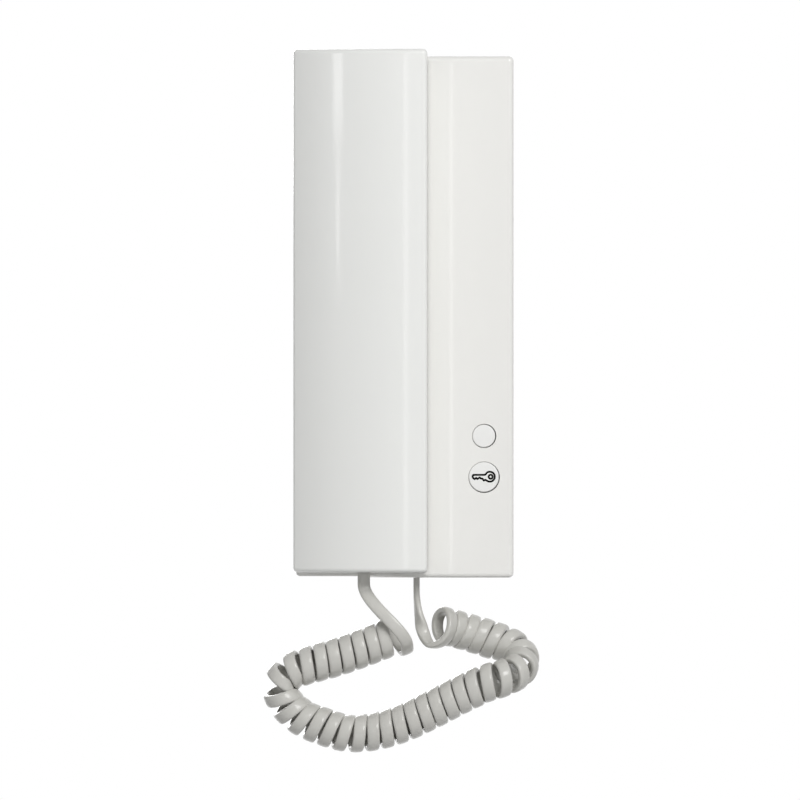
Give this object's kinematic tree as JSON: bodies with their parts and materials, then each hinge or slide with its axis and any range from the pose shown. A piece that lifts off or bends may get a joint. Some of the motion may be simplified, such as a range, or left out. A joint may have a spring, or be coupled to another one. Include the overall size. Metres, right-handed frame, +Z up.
{
  "type": "audio intercom handset",
  "caption": "White wall intercom station: a bowed handset hung on tongues beside a raised flank with push buttons, a hook switch behind it and a curly cord below.",
  "frame": {"origin": "middle of the wall screws, on the back face of the wall plate", "axes": "+X to the right seen from the front, +Y into the wall, +Z up"},
  "size_m": [0.1107, 0.0432, 0.2814],
  "materials": {
    "handset_plastic": "glossy moulded",
    "base_plastic": "glossy moulded",
    "button_plastic": "satin moulded",
    "inner_plastic": "matt moulded",
    "cord": "soft matt",
    "board": "solder mask",
    "terminal": "matt moulded",
    "dark_plastic": "matt moulded",
    "steel": "zinc plated",
    "can": "drawn can",
    "foam": "foam",
    "boot": "matt rubber",
    "wire": "wire sleeve"
  },
  "bodies": {
    "base": {"wall_plate": "inner_plastic", "base_housing": "base_plastic", "circuit_board": "board", "board_screws": "steel", "terminal_block": "terminal", "terminal_screws": "steel", "release_switch": "dark_plastic", "spare_switch": "dark_plastic", "hook_switch": "dark_plastic", "hook_spring": "steel", "sounder": "dark_plastic", "base_cord_bush": "cord", "housing_screw": "steel", "curly_cord": "cord"},
    "key": {"key_button": "button_plastic", "release_switch_pin": "inner_plastic"},
    "spare": {"spare_button": "button_plastic", "spare_switch_pin": "inner_plastic"},
    "hook": {"hook_plunger": "inner_plastic"},
    "handset": {"handset_cover": "handset_plastic", "handset_back": "handset_plastic", "earpiece_capsule": "dark_plastic", "earpiece_gasket": "foam", "microphone_capsule": "can", "microphone_boot": "boot", "handset_screws": "steel", "handset_cord_bush": "cord", "handset_wires": "wire"}
  },
  "joints": [
    {"name": "handset_lift", "type": "slide", "parent": "base", "child": "handset", "axis": [0, -0.866, 0.5], "range_m": [0, 0.024]},
    {"name": "key_press", "type": "slide", "parent": "base", "child": "key", "axis": [0, 1, 0], "range_m": [0, 0.001], "stiffness_N_per_m": 600},
    {"name": "spare_press", "type": "slide", "parent": "base", "child": "spare", "axis": [0, 1, 0], "range_m": [0, 0.001], "stiffness_N_per_m": 600},
    {"name": "hook_travel", "type": "slide", "parent": "base", "child": "hook", "axis": [0, -1, 0], "range_m": [0, 0.0035], "deforming": ["hook_spring"]}
  ],
  "couplings": [
    {"joint": "hook_travel", "follows": "handset_lift", "ratio": 0.14583}
  ]
}
